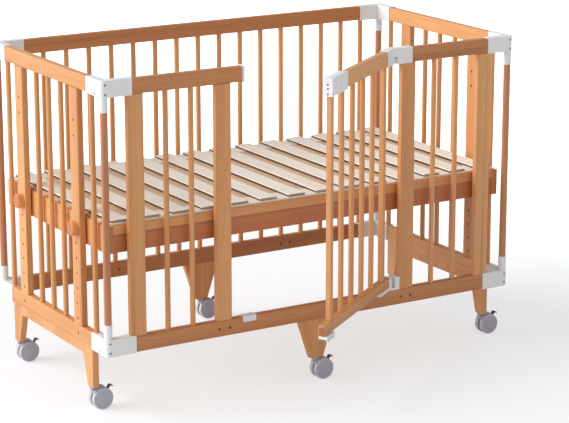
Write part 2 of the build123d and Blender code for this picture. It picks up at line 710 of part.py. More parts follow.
def base():
    """The bed base that hangs on the four knob bolts."""
    half = BASE_HALF_Y
    spots = KNOB_SPOTS.values()
    end_boards = []
    for side in (-1, 1):
        inner = side * (BASE_END_X - END_BOARD_T)
        board = block(side * BASE_END_X, inner, -half, half, BASE_Z0, BASE_TOP_Z)
        end_boards.append(board - [insert_nut(side, y, SEAT) for sign, y in spots if sign == side])
    run = BASE_END_X - END_BOARD_T
    strip_z0 = BASE_TOP_Z - STRIP_H
    panel_x, panel_y = BASE_END_X - BATTEN_END_GAP, half - BATTEN_INSET
    boards, strips, battens = [], [], []
    for side in (-1, 1):
        outer = side * (half - STRIP_PROUD)
        boards.append(block(-run, run, outer, outer - side * SIDE_BOARD_T, BASE_Z0, strip_z0))
        strips.append(block(-run, run, side * half, side * (half - STRIP_T), strip_z0, BASE_TOP_Z))
        edge = side * panel_y
        battens.append(block(-panel_x, panel_x, edge, edge - side * BATTEN_W, BATTEN_Z0, SLAT_Z0))
    count = int((2 * BASE_END_X - SLAT_W) / SLAT_PITCH) + 1
    reach = half - SLAT_END_INSET
    slats = [bar_y(-reach, reach, (i - (count - 1) / 2) * SLAT_PITCH, SLAT_Z0, SLAT_Z0 + SLAT_T,
                   SLAT_W, SLAT_ROUND) for i in range(count)]
    return {
        "base_end_boards": group(end_boards),
        "base_side_rails": group(boards),
        "base_side_strips": group(strips),
        "base_panel": block(-panel_x, panel_x, -panel_y, panel_y, BASE_TOP_Z, BATTEN_Z0),
        "base_battens": group(battens),
        "base_slats": group(slats),
        "base_insert_nuts": group([insert_nut(side, y) for side, y in spots]),
    }


def knobs():
    """Wooden knobs, each with the bolt that carries a corner of the base."""
    nodes = {}
    for spot, (side, y) in KNOB_SPOTS.items():
        start = side * KNOB_X
        wood = pin((start, y, BOLT_Z), (side, 0, 0), KNOB_H, KNOB_D)
        rim = wood.edges().filter_by(GeomType.CIRCLE).sort_by(Axis.X)
        rim = rim[-1] if side > 0 else rim[0]
        wood = fillet(rim, KNOB_ROUND)
        wood -= pin((start, y, BOLT_Z), (side, 0, 0), KNOB_BOLT_DEPTH, KNOB_BOLT_D + 2 * SEAT)
        tip = side * (BASE_END_X - NUT_L)
        bolt = pin((tip, y, BOLT_Z), (side, 0, 0),
                   KNOB_X + KNOB_BOLT_DEPTH - SEAT - BASE_END_X + NUT_L, KNOB_BOLT_D)
        nodes[f"knob_{spot}"] = group([wood, bolt])
    return nodes


def gate_spindle(i, grow=0.0):
    """One spindle of the gate, in the gate's own frame."""
    s = GATE_SPINDLE_START + i * GATE_SPINDLE_PITCH
    z0 = GATE_BOTTOM_Z1 - SOCKET_DEPTH - grow
    return pin((s, 0, z0), (0, 0, 1), SPINDLE_Z1 + grow - z0, SPINDLE_D + 2 * grow)


def gate_stile(s, z1, grow=0.0):
    """One slender stile, whose hinge side edge is at s."""
    size = (STILE_W + 2 * grow, STILE_T + 2 * grow)
    return bar_z(s + STILE_W / 2, 0, GATE_BOTTOM_Z1, z1 + grow, *size, POST_ROUND)


def gate_frame():
    """Rails, stiles and spindles of the gate, in its own frame."""
    spaces = [gate_spindle(i, SEAT) for i in range(GATE_SPINDLE_COUNT)]
    top = bar_x(GATE_RAIL_START, GATE_TOP_RAIL_END, 0, TOP_RAIL_Z0, TOP_RAIL_Z1, RAIL_T, RAIL_ROUND)
    bottom = bar_x(GATE_RAIL_START, GATE_BOTTOM_RAIL_END, 0, GATE_BOTTOM_Z0, GATE_BOTTOM_Z1,
                   RAIL_T, RAIL_ROUND)
    corner = bottom.edges().filter_by(Axis.Y).sort_by_distance(
        (GATE_BOTTOM_RAIL_END, 0, GATE_BOTTOM_Z0))[0]
    bottom = fillet(corner, GATE_CORNER_R)
    stiles = [gate_stile(HINGE_STILE_S, TOP_RAIL_Z0),
              gate_stile(FREE_STILE_S, HOUSING_Z0 + STILE_SOCKET)]
    return {
        "gate_top_rail": top - spaces,
        "gate_bottom_rail": bottom - spaces,
        "gate_stiles": group(stiles),
        "gate_spindles": group([gate_spindle(i) for i in range(GATE_SPINDLE_COUNT)]),
    }


def hinge_levels():
    """Split between the knuckles of the top hinge, and of the bottom hinge."""
    return HEIGHT - KNUCKLE_SPLIT, BOTTOM_RAIL_Z1 + TONGUE_H


def hinge_bore(z0, z1):
    """The bore around a hinge pin, on the hinge axis at the origin."""
    return pin((0, 0, z0), (0, 0, 1), z1 - z0, HINGE_PIN_D + 2 * RUNNING)


def top_hinge_gate_half():
    """Cap on the hinge end of the gate's top rail, with the lower knuckle."""
    z0, z1 = bracket_levels(False)
    split = hinge_levels()[0] - KNUCKLE_GAP
    half = BRACKET_T / 2
    cap = bar_x(CAP_START, CAP_END, 0, z0, z1, BRACKET_T, BRACKET_EDGE_R)
    cap += pin((0, 0, z0), (0, 0, 1), split - z0, 2 * KNUCKLE_R)
    cap += block(0, CAP_START + END_WALL, -half, half, z0, split)
    cap -= bar_x(GATE_RAIL_START - SEAT, CAP_END + SEAT, 0, TOP_RAIL_Z0 - SEAT, TOP_RAIL_Z1 + SEAT,
                 RAIL_T + 2 * SEAT, RAIL_ROUND)
    cap -= gate_stile(HINGE_STILE_S, TOP_RAIL_Z0, SEAT)
    cap -= hinge_bore(z0 + HINGE_PIN_END, z1)
    for i in range(GROOVE_COUNT):
        s = CAP_START + GROOVE_PITCH * (i + 1)
        cap -= block(s, s + GROOVE_W, half - GROOVE_DEPTH, half, z0, z1)
    return cap


def top_hinge_frame_half():
    """Sleeve on the fixed top rail beside the gate, with the upper knuckle."""
    z0, z1 = bracket_levels(False)
    split = hinge_levels()[0]
    half = BRACKET_T / 2
    x0, x1 = HINGE_X + SLEEVE_START, HINGE_X + SLEEVE_END
    sleeve = bar_x(x0, x1, HINGE_Y, z0, z1, BRACKET_T, BRACKET_EDGE_R)
    sleeve += pin((HINGE_X, HINGE_Y, split), (0, 0, 1), z1 - split, 2 * KNUCKLE_R)
    sleeve += block(HINGE_X, x0 + END_WALL, HINGE_Y - half, HINGE_Y + half, split, z1)
    sleeve -= bar_x(x0 + END_WALL - SEAT, x1 + SEAT, HINGE_Y, TOP_RAIL_Z0 - SEAT,
                    TOP_RAIL_Z1 + SEAT, RAIL_T + 2 * SEAT, RAIL_ROUND)
    sleeve -= front_post(GATE_POST_X, SEAT)
    return sleeve - Pos(HINGE_X, HINGE_Y, 0) * hinge_bore(split - SEAT, z1 - HINGE_PIN_END)


def bottom_hinge_frame_half():
    """Block on the bottom rail against the gate post, with a tongue under the gate."""
    half = BLOCK_T / 2
    z0, tongue_z1 = BOTTOM_RAIL_Z1 + SEAT, hinge_levels()[1]
    x0, x1 = HINGE_X + BLOCK_START, GATE_POST_X - FRONT_POST_W / 2 - SEAT
    body = block(x0, x1, HINGE_Y - half, HINGE_Y + half, z0, z0 + BLOCK_H)
    body += block(HINGE_X, x0, HINGE_Y - half, HINGE_Y + half, z0, tongue_z1)
    body += pin((HINGE_X, HINGE_Y, z0), (0, 0, 1), tongue_z1 - z0, BLOCK_T)
    return body - Pos(HINGE_X, HINGE_Y, 0) * hinge_bore(z0, tongue_z1 + SEAT)


def bottom_hinge_gate_half():
    """Knuckle on the bottom hinge pin, with a foot plate under the gate's bottom rail."""
    z0 = hinge_levels()[1] + KNUCKLE_GAP
    z1 = BOTTOM_RAIL_Z1 + SEAT + BLOCK_H
    half = RAIL_T / 2
    body = pin((0, 0, z0), (0, 0, 1), z1 - z0, 2 * KNUCKLE_R)
    body += block(0, GATE_RAIL_START - SEAT, -half, half, z0, z1)
    body += block(FOOT_PLATE_START, FOOT_PLATE_END, -half, half,
                  BOTTOM_RAIL_Z1 + FOOT_PLATE_GAP, GATE_BOTTOM_Z0 - SEAT)
    return body - hinge_bore(z0 - SEAT, z1 - HINGE_PIN_END)


def hinge_pins():
    """The two pins on the gate's axis."""
    top_z0 = bracket_levels(False)[0] + HINGE_PIN_END + SEAT
    top_z1 = HEIGHT - HINGE_PIN_END - SEAT
    low_z0 = BOTTOM_RAIL_Z1 + 2 * SEAT
    low_z1 = BOTTOM_RAIL_Z1 + BLOCK_H - HINGE_PIN_END
    return group([pin((HINGE_X, HINGE_Y, z0), (0, 0, 1), z1 - z0, HINGE_PIN_D)
                  for z0, z1 in ((top_z0, top_z1), (low_z0, low_z1))])


def latch_housing():
    """Box on the free end of the gate's top rail, in the gate's own frame."""
    half = HOUSING_T / 2
    body = bar_x(HOUSING_START, HOUSING_END, 0, HOUSING_Z0, HEIGHT, HOUSING_T, HOUSING_ROUND)
    body -= bar_x(HOUSING_START - SEAT, GATE_TOP_RAIL_END + SEAT, 0, TOP_RAIL_Z0 - SEAT,
                  TOP_RAIL_Z1 + SEAT, RAIL_T + 2 * SEAT, RAIL_ROUND)
    body -= block(GATE_TOP_RAIL_END, HOUSING_END - HOUSING_END_WALL, -RAIL_T / 2, RAIL_T / 2,
                  HOUSING_Z0 + HOUSING_FLOOR, HEIGHT - HOUSING_ROOF)
    for drop in LATCH_PIN_DROPS:
        body -= pin((YOKE_S, 0, HEIGHT - drop), (1, 0, 0), HOUSING_END - YOKE_S,
                    LATCH_PIN_D + 2 * RUNNING)
    body -= pin((HOUSING_END, 0, HEIGHT - LATCH_SCREW_DROP), (-1, 0, 0), SCREW_HEAD_H, SCREW_D)
    body -= pin((BUTTON_S, half, BUTTON_Z), (0, -1, 0), half, BUTTON_D + 2 * RUNNING)
    body -= gate_stile(FREE_STILE_S, HOUSING_Z0 + STILE_SOCKET, SEAT)
    body -= gate_spindle(GATE_SPINDLE_COUNT - 1, SEAT)
    seam = HOUSING_END - HOUSING_END_WALL
    core = bar_x(seam, seam + HOUSING_SEAM_W, 0, HOUSING_Z0 + HOUSING_SEAM_DEPTH,
                 HEIGHT - HOUSING_SEAM_DEPTH, HOUSING_T - 2 * HOUSING_SEAM_DEPTH, HOUSING_ROUND)
    body -= block(seam, seam + HOUSING_SEAM_W, -half, half, HOUSING_Z0, HEIGHT) - core
    for i in range(RIB_COUNT):
        s = HOUSING_END - RIB_PITCH * (i + 1)
        body -= block(s - RIB_W, s, RIB_MARGIN - half, half - RIB_MARGIN, HEIGHT - RIB_H, HEIGHT)
    return body


def latch_pins():
    """Two pins on one yoke, which slide out of the housing's end face."""
    half = BUTTON_FLANGE_D / 2 - BUTTON_FLANGE_T
    high, low = (HEIGHT - drop for drop in LATCH_PIN_DROPS)
    body = block(YOKE_S, YOKE_S + YOKE_T, -half, half, low - LATCH_PIN_D, high + LATCH_PIN_D)
    body += block(YOKE_S - TONGUE_REACH, YOKE_S, -half, -half + TONGUE_T, low, high)
    for z in (low, high):
        body += pin((YOKE_S, 0, z), (1, 0, 0), HOUSING_END - YOKE_S, LATCH_PIN_D)
    return body


def latch_button():
    """Round push button with a flange inside the housing wall."""
    half = HOUSING_T / 2
    wall_in = RAIL_T / 2
    body = pin((BUTTON_S, half + BUTTON_PROUD, BUTTON_Z), (0, -1, 0),
               half + BUTTON_PROUD - wall_in + BUTTON_GAP + BUTTON_FLANGE_T, BUTTON_D)
    rim = body.edges().filter_by(GeomType.CIRCLE).sort_by(Axis.Y)[-1]
    body = fillet(rim, BUTTON_GAP)
    return body + pin((BUTTON_S, wall_in - BUTTON_GAP, BUTTON_Z), (0, -1, 0), BUTTON_FLANGE_T,
                      BUTTON_FLANGE_D)


def top_striker():
    """Plate on the end of the fixed top rail, bored for the latch pins."""
    half = BRACKET_T / 2
    x0, x1 = STRIKER_X - STRIKER_T + SEAT, STRIKER_X
    plate = block(x0, x1, HINGE_Y - half, HINGE_Y + half, TOP_RAIL_Z0 - BRACKET_SKIN, HEIGHT)
    for drop in LATCH_PIN_DROPS:
        plate -= pin((x1, HINGE_Y, HEIGHT - drop), (-1, 0, 0), STRIKER_BORE_DEPTH,
                     LATCH_PIN_D + 2 * PASSING)
    return plate


def bottom_striker():
    """Angle plate over the outer top edge of the bottom rail."""
    x0, x1 = HINGE_X - PLATE_TO, HINGE_X - PLATE_FROM
    face = -RAIL_OUT_Y
    top = BOTTOM_RAIL_Z1 + PLATE_T
    plate = block(x0, x1, face - PLATE_T, face + PLATE_DEPTH, top - PLATE_DROP - PLATE_T, top)
    corners_low = plate.edges().filter_by(Axis.Y).group_by(Axis.Z)[0]
    plate = fillet(corners_low, PLATE_ROUND)
    inside = bar_x(x0, x1, -RAIL_Y, BOTTOM_RAIL_Z0, BOTTOM_RAIL_Z1, RAIL_T, RAIL_ROUND)
    notch = block((x0 + x1 - PLATE_NOTCH_W) / 2, (x0 + x1 + PLATE_NOTCH_W) / 2, face - PLATE_T,
                  face + PLATE_DEPTH, top - PLATE_NOTCH_DEPTH, top)
    return plate - inside - notch


def catch_foot():
    """Foot under the gate's free end, with a lip in front of the striker plate."""
    lip_in = RAIL_T / 2 + PLATE_T + LIP_GAP
    z0, z1 = BOTTOM_RAIL_Z1 + CATCH_UNDER, GATE_BOTTOM_Z0 - SEAT
    foot = block(CATCH_START, CATCH_END, -CATCH_BACK, lip_in + CATCH_LIP_T, z0, z1)
    foot += block(CATCH_START, CATCH_END, lip_in, lip_in + CATCH_LIP_T, z0 - CATCH_LIP_DROP, z1)
    lip_corners = foot.edges().filter_by(Axis.Y).group_by(Axis.Z)[0]
    return fillet(lip_corners, CATCH_ROUND)


def gate():
    """Everything that swings with the gate, and what it closes on."""
    nodes = {name: GATE_PLACE * shape for name, shape in gate_frame().items()}
    nodes["top_hinge_gate_half"] = GATE_PLACE * top_hinge_gate_half()
    nodes["bottom_hinge_gate_half"] = GATE_PLACE * bottom_hinge_gate_half()
    nodes["gate_catch_foot"] = GATE_PLACE * catch_foot()
    nodes["latch_housing"] = GATE_PLACE * latch_housing()
    nodes["latch_pins"] = GATE_PLACE * latch_pins()
    nodes["latch_button"] = GATE_PLACE * latch_button()
    nodes["top_hinge_frame_half"] = top_hinge_frame_half()
    nodes["bottom_hinge_frame_half"] = bottom_hinge_frame_half()
    nodes["hinge_pins"] = hinge_pins()
    nodes["top_striker"] = top_striker()
    nodes["bottom_striker"] = bottom_striker()
    return nodes


def crib():
    """Every node in the frame's own coordinates."""
    corner_nodes, screw_spaces = corners()
    rail_nodes = rails()
    for name in ("end_top_rails", "end_bottom_rails"):
        rail_nodes[name] = group([solid - screw_spaces for solid in rail_nodes[name].solids()])
    return {**rail_nodes, **uprights(), **corner_nodes, **legs(), **casters(), **base(),
            **knobs(), **gate()}


def whole_box(nodes):
    """The bounding box of everything together."""
    return Compound([solid for shape in nodes.values() for solid in shape.solids()]).bounding_box()


def origin_shift(nodes):
    """The move that puts the middle of the box's underside at the origin."""
    box = whole_box(nodes)
    return Pos(-box.center().X, -box.center().Y, -box.min.Z)


def main():
    os.makedirs("parts", exist_ok=True)
    nodes = crib()
    shift = origin_shift(nodes)
    for name, shape in nodes.items():
        export_step(shift * shape, f"parts/{name}.step")


if __name__ == "__main__":
    main()
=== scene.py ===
import json
import math

import bmesh
import bpy
from mathutils import Euler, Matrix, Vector


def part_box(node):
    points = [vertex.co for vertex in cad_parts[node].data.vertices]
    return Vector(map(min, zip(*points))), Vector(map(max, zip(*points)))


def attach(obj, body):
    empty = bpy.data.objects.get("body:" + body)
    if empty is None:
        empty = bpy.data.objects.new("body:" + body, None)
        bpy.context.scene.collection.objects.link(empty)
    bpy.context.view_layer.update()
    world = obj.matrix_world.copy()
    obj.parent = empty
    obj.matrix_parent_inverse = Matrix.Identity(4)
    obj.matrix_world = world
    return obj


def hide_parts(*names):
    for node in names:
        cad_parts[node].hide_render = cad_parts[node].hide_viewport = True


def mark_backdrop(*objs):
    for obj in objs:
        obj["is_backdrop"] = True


# A beech crib with white plastic corners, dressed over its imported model.
# Metres, +Z up, the gate side towards -Y.

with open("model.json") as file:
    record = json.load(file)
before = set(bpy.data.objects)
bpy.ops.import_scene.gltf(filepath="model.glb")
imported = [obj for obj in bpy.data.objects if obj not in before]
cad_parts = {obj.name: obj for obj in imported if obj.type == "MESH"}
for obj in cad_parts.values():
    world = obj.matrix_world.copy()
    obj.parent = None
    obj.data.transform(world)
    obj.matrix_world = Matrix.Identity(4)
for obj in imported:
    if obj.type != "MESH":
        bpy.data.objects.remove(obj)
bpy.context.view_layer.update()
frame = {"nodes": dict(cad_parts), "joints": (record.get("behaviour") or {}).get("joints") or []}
NODES = frame["nodes"]


def middle(node):
    """The middle of a node's box at rest."""
    low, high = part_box(node)
    return (low + high) / 2


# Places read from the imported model
CRIB_MIDDLE = middle("top_corner_brackets")
JOINTS = {joint["name"]: joint for joint in frame["joints"]}
GATE_OPEN = -math.radians(JOINTS["gate_hinge"]["range_deg"][0])
CASTER_SPOTS = [name[len("caster_wheels_"):] for name in NODES if name.startswith("caster_wheels_")]
KNOB_SPOTS = [name[len("knob_"):] for name in NODES if name.startswith("knob_")]
SLATS_LOW, SLATS_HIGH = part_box("base_slats")
# The slats' sides get painted shade, a dark brown for the shadowed gap under them, up to this share
# of their height
SLAT_SHADE_SHARE = 0.72
SLAT_SHADE_TOP = SLATS_LOW.z + (SLATS_HIGH.z - SLATS_LOW.z) * SLAT_SHADE_SHARE

# The photograph's camera, and its frame in pixels
PHOTO_WIDTH = 569
SENSOR_MM = 36.0
FOCAL_PX = 2160.0
CAMERA_FROM_CRIB = Vector((-2.9132, -4.9656, 1.8901))
CAMERA_YAW = 31.21
CAMERA_PITCH = 14.59
CAMERA_SIGHT = 200.0

# Grain directions
ALONG_X = (1, 0, 0)
ALONG_Y = (0, 1, 0)
UPRIGHT = (0, 0, 1)
ALONG_GATE = (-math.cos(GATE_OPEN), -math.sin(GATE_OPEN), 0)


# Shader building

# Numbers of the Mix node's colour sockets
MIX_A = 6
MIX_B = 7
MIX_COLOUR = 2


class Wire:
    """A shader socket that can be used in sums."""

    def __init__(self, finish, socket):
        self.finish = finish
        self.socket = socket

    def maths(self, operation, first, second):
        return self.finish.node("Math", {"operation": operation}, {0: first, 1: second})

    def __add__(self, other):
        return self.maths("ADD", self, other)

    def __radd__(self, other):
        return self.maths("ADD", other, self)

    def __sub__(self, other):
        return self.maths("SUBTRACT", self, other)

    def __rsub__(self, other):
        return self.maths("SUBTRACT", other, self)

    def __mul__(self, other):
        return self.maths("MULTIPLY", self, other)

    def __abs__(self):
        return self.maths("ABSOLUTE", self, 0)

    def sine(self):
        return self.maths("SINE", self, 0)

    def between(self, low, high):
        """0 below low, 1 above high, smooth on the way."""
        return self.finish.node(
            "MapRange", {"interpolation_type": "SMOOTHSTEP"},
            {"Value": self, "From Min": low, "From Max": high})


class Finish:
    """One material and the nodes that make it."""

    def __init__(self, name):
        self.material = bpy.data.materials.new(name)
        self.material.use_nodes = True
        self.tree = self.material.node_tree
        self.tree.nodes.clear()

    def node(self, kind, settings=None, inputs=None, output=0):
        """Add a node: its settings first, then the values or links of its sockets."""
        made = self.tree.nodes.new("ShaderNode" + kind)
        for key, value in (settings or {}).items():
            setattr(made, key, value)
        for key, value in (inputs or {}).items():
            if isinstance(value, Wire):
                self.tree.links.new(value.socket, made.inputs[key])
            else:
                made.inputs[key].default_value = value
        return Wire(self, made.outputs[output]) if made.outputs else None

    def place(self, grain=ALONG_X):
        """Object coordinates in metres, turned so that X runs along the grain."""
        turn = Vector(ALONG_X).rotation_difference(Vector(grain)).inverted().to_euler()
        return self.node("Mapping", {"vector_type": "POINT"},
                         {"Vector": self.coordinates("Object"), "Rotation": turn})

    def coordinates(self, output):
        return self.node("TexCoord", output=output)

    def stretch(self, place, scales, offset=0.0):
        """Coordinates scaled by a number of cells per metre on each axis."""
        return self.node("Mapping", {"vector_type": "POINT"},
                         {"Vector": place, "Scale": scales, "Location": (offset, offset, offset)})

    def noise(self, vector, detail=2.0, roughness=0.5):
        return self.node("TexNoise", None,
                         {"Vector": vector, "Scale": 1.0, "Detail": detail, "Roughness": roughness})

    def mix(self, factor, first, second):
        """Blend two colours: all first at 0, all second at 1."""
        return self.node("Mix", {"data_type": "RGBA"},
                         {0: factor, MIX_A: first, MIX_B: second}, MIX_COLOUR)

    def facing(self, direction):
        """How squarely the surface faces along a direction, either way, from 0 to 1."""
        normal = self.coordinates("Normal")
        return abs(self.node("VectorMath", {"operation": "DOT_PRODUCT"},
                             {0: normal, 1: direction}, "Value"))

    def bump(self, height, strength, distance):
        return self.node("Bump", None,
                         {"Height": height, "Strength": strength, "Distance": distance})

    def surface(self, sockets):
        """End in a Principled shader with these sockets."""
        shader = self.node("BsdfPrincipled", None, sockets)
        self.node("OutputMaterial", None, {"Surface": shader})
        return self.material


def rgb(red, green, blue):
    """A colour written as a screen shows it, 0 to 255, for a shader."""
    def linear(value):
        value /= 255
        return value / 12.92 if value <= 0.04045 else ((value + 0.055) / 1.055) ** 2.4
    return (linear(red), linear(green), linear(blue), 1.0)


# Finishes

# Cells per metre along the grain and across it, for each layer of the wood
PIECE_CELLS = (0.5, 13, 13)
RING_CELLS = (1.3, 24, 24)
RING_WAVER_CELLS = (9, 90, 90)
STREAK_CELLS = (0.9, 75, 75)
FIBRE_CELLS = (14, 900, 900)
FLECK_CELLS = (160, 1500, 1500)
PATCH_CELLS = (5, 18, 18)
PORE_CELLS = (900, 900, 900)
RING_COUNT = 78
RING_WAVER = 4
# Softness in metres of the top edge of the painted shade on the slats' sides
SHADE_EDGE_BLUR = 0.0003
# Cells per metre of the plastic's and the metal's layers
MOULD_CELLS = (9, 9, 9)
SCUFF_CELLS = (60, 900, 300)
MOULD_GRAIN = 0.0006
DRAWN_CELLS = (200, 200, 2500)
WORN_CELLS = (120, 120, 120)
METAL_WEAR = 0.3
# Strength of each finish's relief, and its depth in metres
WOOD_RELIEF = (0.25, 0.00012)
MOULD_RELIEF = (0.12, 0.00006)
METAL_RELIEF = (0.1, 0.00005)


def wood(name, grain, tones, seed=0.0, figure=0.5, streaks=0.35, end_tone=None, gloss=0.42,
         painted_shade_top=None):
    """Lacquered wood: figure, streaks, fibres and flecks along a grain direction."""
    pale, mid, dark = tones
    finish = Finish(name)
    place = finish.place(grain)

    def layer(scales, detail=2.0, roughness=0.5, step=0.0):
        return finish.noise(finish.stretch(place, scales, seed + step), detail, roughness)

    # One piece is a little paler or redder than the next
    piece_tone = layer(PIECE_CELLS, 1.0, 0.4, 3.1).between(0.35, 0.65)
    # Growth rings cut at a slant show as long arches
    rings = layer(RING_CELLS, 1.5, 0.45, 7.7) * RING_COUNT
    waver = layer(RING_WAVER_CELLS, 2, 0.5, 1.9) * RING_WAVER
    arches = (rings + waver).sine().between(-0.9, 1.0)
    # Long darker streaks, fine fibres and the short flecks of beech
    streak = layer(STREAK_CELLS, 2.0, 0.6, 12.3).between(0.52, 0.74)
    fibres = layer(FIBRE_CELLS, 3.0, 0.6, 5.5)
    flecks = layer(FLECK_CELLS, 1.0, 0.5, 9.9).between(0.60, 0.70)
    patches = layer(PATCH_CELLS, 2.0, 0.5, 21.0)

    colour = finish.mix(piece_tone * 0.55 + patches * 0.35, pale, mid)
    colour = finish.mix(arches * figure * 0.55, colour, mid)
    colour = finish.mix(streak * streaks, colour, dark)
    colour = finish.mix(fibres.between(0.35, 0.75) * 0.22, colour, dark)
    colour = finish.mix(flecks * 0.28, colour, dark)
    # Cut ends are darker, with open pores
    pores = layer(PORE_CELLS, 1.0, 0.5, 2.2).between(0.45, 0.7)
    end = finish.mix(pores * 0.5, end_tone or dark, mid)
    ends = finish.facing(Vector(grain)).between(0.75, 0.9)
    colour = finish.mix(ends * 0.85, colour, end)
    # Painted shade: the lower part of each side face turned along X is painted dark brown, for the
    # shadowed gap under the slats
    if painted_shade_top:
        height = finish.node("SeparateXYZ", None, {0: finish.coordinates("Object")}, "Z")
        side = finish.facing(Vector(ALONG_X)).between(0.6, 0.8)
        painted_shade_mask = 1 - height.between(painted_shade_top - SHADE_EDGE_BLUR, painted_shade_top + SHADE_EDGE_BLUR)
        colour = finish.mix(side * painted_shade_mask, colour, SLAT_PAINTED_SHADE)
    roughness = gloss + fibres * 0.14 + patches * 0.08 + ends * 0.2
    relief = fibres * 0.6 + flecks * -0.5 + arches * 0.15
    normal = finish.bump(relief, *WOOD_RELIEF)
    return finish.surface({
        "Base Color": colour, "Roughness": roughness, "Normal": normal,
        "Coat Weight": 0.6, "Coat Roughness": 0.4})


def moulded(name, colour, roughness=0.4, mottle=0.05):
    """Moulded plastic with a fine texture and a little unevenness in its tone."""
    finish = Finish(name)
    place = finish.place()
    broad = finish.noise(finish.stretch(place, MOULD_CELLS), 3.0)
    fine = finish.noise(finish.stretch(place, [1 / MOULD_GRAIN] * 3), 2.0, 0.6)
    scuffs = finish.noise(finish.stretch(place, SCUFF_CELLS, 4.0), 2.0, 0.55).between(0.66, 0.8)
    darker = (colour[0] * 0.82, colour[1] * 0.81, colour[2] * 0.79, 1.0)
    shade = finish.mix(broad.between(0.35, 0.7) * mottle * 4, colour, darker)
    shade = finish.mix(scuffs * mottle * 3, shade, darker)
    return finish.surface({
        "Base Color": shade,
        "Roughness": roughness + broad * 0.12 + scuffs * 0.15 - 0.06,
        "Normal": finish.bump(fine, *MOULD_RELIEF)})


def metal(name, colour, roughness, metallic=1.0):
    """Steel with fine drawn lines and worn patches."""
    finish = Finish(name)
    place = finish.place()
    lines = finish.noise(finish.stretch(place, DRAWN_CELLS), 2.0, 0.6)
    patches = finish.noise(finish.stretch(place, WORN_CELLS, 6.0), 3.0).between(0.45, 0.7)
    brighter = tuple(min(1.0, part * 1.5 + 0.03) for part in colour[:3]) + (1.0,)
    shade = finish.mix(patches * METAL_WEAR, colour, brighter)
    return finish.surface({
        "Base Color": shade, "Metallic": metallic,
        "Roughness": roughness + lines * 0.15 + patches * 0.1,
        "Normal": finish.bump(lines, *METAL_RELIEF)})


# Pale, middle and dark tone of each wood
# BEECH and BEECH_SHADED_FRONT are lit and shaded copies of one beech: the paler BEECH is painted
# light for pieces seen by their faces turned to the key at the left, and the darker copy is painted
# shade for the long rails, seen by their front faces, away from the key
BEECH = (rgb(232, 170, 108), rgb(208, 138, 76), rgb(148, 84, 38))
BEECH_SHADED_FRONT = (rgb(208, 140, 80), rgb(186, 114, 58), rgb(128, 70, 30))
# The side boards' redder, darker tone is partly their own and partly painted shade from the strip
# that overhangs them
RED_BROWN_AND_SHADE = (rgb(210, 126, 70), rgb(188, 106, 56), rgb(126, 66, 32))
PALE_PINE = (rgb(255, 251, 243), rgb(250, 239, 224), rgb(206, 170, 136))
PALE_PANEL = (rgb(236, 208, 176), rgb(226, 194, 158), rgb(184, 140, 104))
KNOB_WOOD = (rgb(238, 172, 104), rgb(226, 150, 80), rgb(178, 104, 50))
ROD_WOOD = (rgb(204, 136, 88), rgb(184, 114, 70), rgb(132, 74, 44))
SLAT_END = rgb(104, 84, 72)
# Painted shade for the lower part of the slats' sides
SLAT_PAINTED_SHADE = rgb(66, 34, 18)


def finishes():
    """Every material by the name of what it is used on."""
    return {
        "long_rails": wood("beech_long_rails", ALONG_X, BEECH_SHADED_FRONT, 0.0),
        "end_rails": wood("beech_end_rails", ALONG_Y, BEECH, 31.0),
        "gate_rails": wood("beech_gate_rails", ALONG_GATE, BEECH, 47.0),
        "uprights": wood("beech_uprights", UPRIGHT, BEECH, 11.0, figure=0.4),
        "rods": wood("beech_rods", UPRIGHT, ROD_WOOD, 5.0, figure=0.3),
        "legs": wood("beech_legs", UPRIGHT, BEECH, 61.0),
        "end_boards": wood("beech_end_boards", ALONG_Y, KNOB_WOOD, 17.0),
        "side_boards": wood("red_and_shaded_side_boards", ALONG_X, RED_BROWN_AND_SHADE, 23.0, figure=0.7),
        "side_strips": wood("beech_side_strips", ALONG_X, BEECH, 29.0),
        "slats": wood("pale_slats", ALONG_Y, PALE_PINE, 41.0, figure=0.25, streaks=0.15,
                      end_tone=SLAT_END, gloss=0.6, painted_shade_top=SLAT_SHADE_TOP),
        "battens": wood("pale_battens", ALONG_X, PALE_PINE, 43.0, gloss=0.6),
        "panel": wood("pale_panel", ALONG_X, PALE_PANEL, 45.0, streaks=0.2, gloss=0.6),
        "knobs": wood("beech_knobs", ALONG_X, KNOB_WOOD, 53.0, figure=0.3),
        "white": moulded("white_plastic", rgb(236, 237, 238)),
        "wheel": moulded("grey_wheel_plastic", rgb(184, 183, 196), 0.45, 0.06),
        "tread": moulded("grey_tread", rgb(203, 200, 208), 0.6, 0.06),
        "dark": metal("dark_caster_metal", rgb(92, 90, 94), 0.42, 0.4),
        "screw": metal("screw_steel", rgb(120, 116, 114), 0.35),
        # Painted shade: dark plastic for the crescent of shadow beside the latch's button
        "crescent_shade": moulded("painted_crescent_shade_plastic", rgb(62, 62, 68), 0.5),
        "steel": metal("pin_steel", rgb(196, 196, 198), 0.25),
    }


